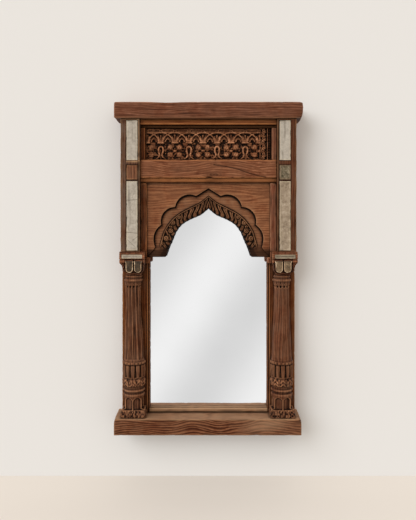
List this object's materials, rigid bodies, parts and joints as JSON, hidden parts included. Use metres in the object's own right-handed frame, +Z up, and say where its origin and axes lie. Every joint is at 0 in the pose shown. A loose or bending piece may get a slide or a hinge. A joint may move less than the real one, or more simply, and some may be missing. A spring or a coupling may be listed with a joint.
{
  "type": "wall mirror",
  "caption": "Carved hardwood window frame with a cusped arch, fluted columns, frieze and old glass insets, fitted with a mirror and hung on a wall by hinged rings.",
  "frame": {"origin": "centre of the top beam's back face, where it lies on the wall", "axes": "+Z up, +Y into the wall, so the front of the mirror faces -Y, and +X to the right as seen from the front"},
  "size_m": [0.76, 0.125, 1.337],
  "materials": {
    "old_teak": "weathered, waxed reddish brown",
    "dark_teak": "dark, dirt in the carving",
    "dusty_teak": "dry, lighter brown",
    "aged_glass": "old silvered glass, mottled grey beige",
    "grey_glass": "old silvered glass, mottled grey green",
    "silvered_glass": "polished mirror",
    "fibre_board": "pressed board, matt",
    "plated_steel": "zinc plated, dull",
    "turned_brass": "lacquered, aged"
  },
  "bodies": {
    "mirror_frame": {"top_beam": "old_teak", "sill": "old_teak", "left_stile": "old_teak", "right_stile": "old_teak", "left_top_peg": "dark_teak", "right_top_peg": "dark_teak", "left_bottom_peg": "dark_teak", "right_bottom_peg": "dark_teak", "left_post": "old_teak", "right_post": "old_teak", "left_upper_strip": "aged_glass", "right_upper_strip": "aged_glass", "left_square_panel": "old_teak", "right_square_panel": "grey_glass", "left_lower_strip": "aged_glass", "right_lower_strip": "aged_glass", "left_capital": "old_teak", "right_capital": "old_teak", "left_capital_strip": "aged_glass", "right_capital_strip": "aged_glass", "left_inner_petal": "grey_glass", "left_outer_petal": "grey_glass", "right_inner_petal": "grey_glass", "right_outer_petal": "grey_glass", "left_column": "old_teak", "right_column": "old_teak", "left_impost": "old_teak", "right_impost": "old_teak", "left_lower_inner_stile": "dark_teak", "right_lower_inner_stile": "dark_teak", "left_upper_inner_stile": "dark_teak", "right_upper_inner_stile": "dark_teak", "frieze_moulding": "old_teak", "frieze_panel": "dark_teak", "mid_rail": "old_teak", "arch_panel": "dusty_teak", "bottom_rail": "dusty_teak", "back_rail": "dark_teak", "mirror_glass": "silvered_glass", "backing_board": "fibre_board", "left_strap": "plated_steel", "right_strap": "plated_steel", "left_strap_upper_screw": "plated_steel", "left_strap_lower_screw": "plated_steel", "right_strap_upper_screw": "plated_steel", "right_strap_lower_screw": "plated_steel", "left_lower_button_screw": "turned_brass", "left_upper_button_screw": "turned_brass", "right_lower_button_screw": "turned_brass", "right_upper_button_screw": "turned_brass"},
    "left_hanging_ring": {"left_ring": "plated_steel"},
    "right_hanging_ring": {"right_ring": "plated_steel"},
    "left_lower_turn_button": {"left_lower_button": "turned_brass"},
    "left_upper_turn_button": {"left_upper_button": "turned_brass"},
    "right_lower_turn_button": {"right_lower_button": "turned_brass"},
    "right_upper_turn_button": {"right_upper_button": "turned_brass"}
  },
  "joints": [
    {"name": "left_ring_swing", "type": "hinge", "parent": "mirror_frame", "child": "left_hanging_ring", "pos_m": [-0.301, -0.0099, -0.1625], "axis": [1, 0, 0], "range_deg": [0, 180]},
    {"name": "right_ring_swing", "type": "hinge", "parent": "mirror_frame", "child": "right_hanging_ring", "pos_m": [0.301, -0.0099, -0.1625], "axis": [1, 0, 0], "range_deg": [0, 180]},
    {"name": "left_lower_button_turn", "type": "hinge", "parent": "mirror_frame", "child": "left_lower_turn_button", "pos_m": [-0.265, -0.0117, -1.00961], "axis": [0, 1, 0], "range_deg": [-90, 90]},
    {"name": "left_upper_button_turn", "type": "hinge", "parent": "mirror_frame", "child": "left_upper_turn_button", "pos_m": [-0.265, -0.0117, -0.48377], "axis": [0, 1, 0], "range_deg": [-90, 90]},
    {"name": "right_lower_button_turn", "type": "hinge", "parent": "mirror_frame", "child": "right_lower_turn_button", "pos_m": [0.265, -0.0117, -1.00961], "axis": [0, 1, 0], "range_deg": [-90, 90]},
    {"name": "right_upper_button_turn", "type": "hinge", "parent": "mirror_frame", "child": "right_upper_turn_button", "pos_m": [0.265, -0.0117, -0.48377], "axis": [0, 1, 0], "range_deg": [-90, 90]}
  ]
}
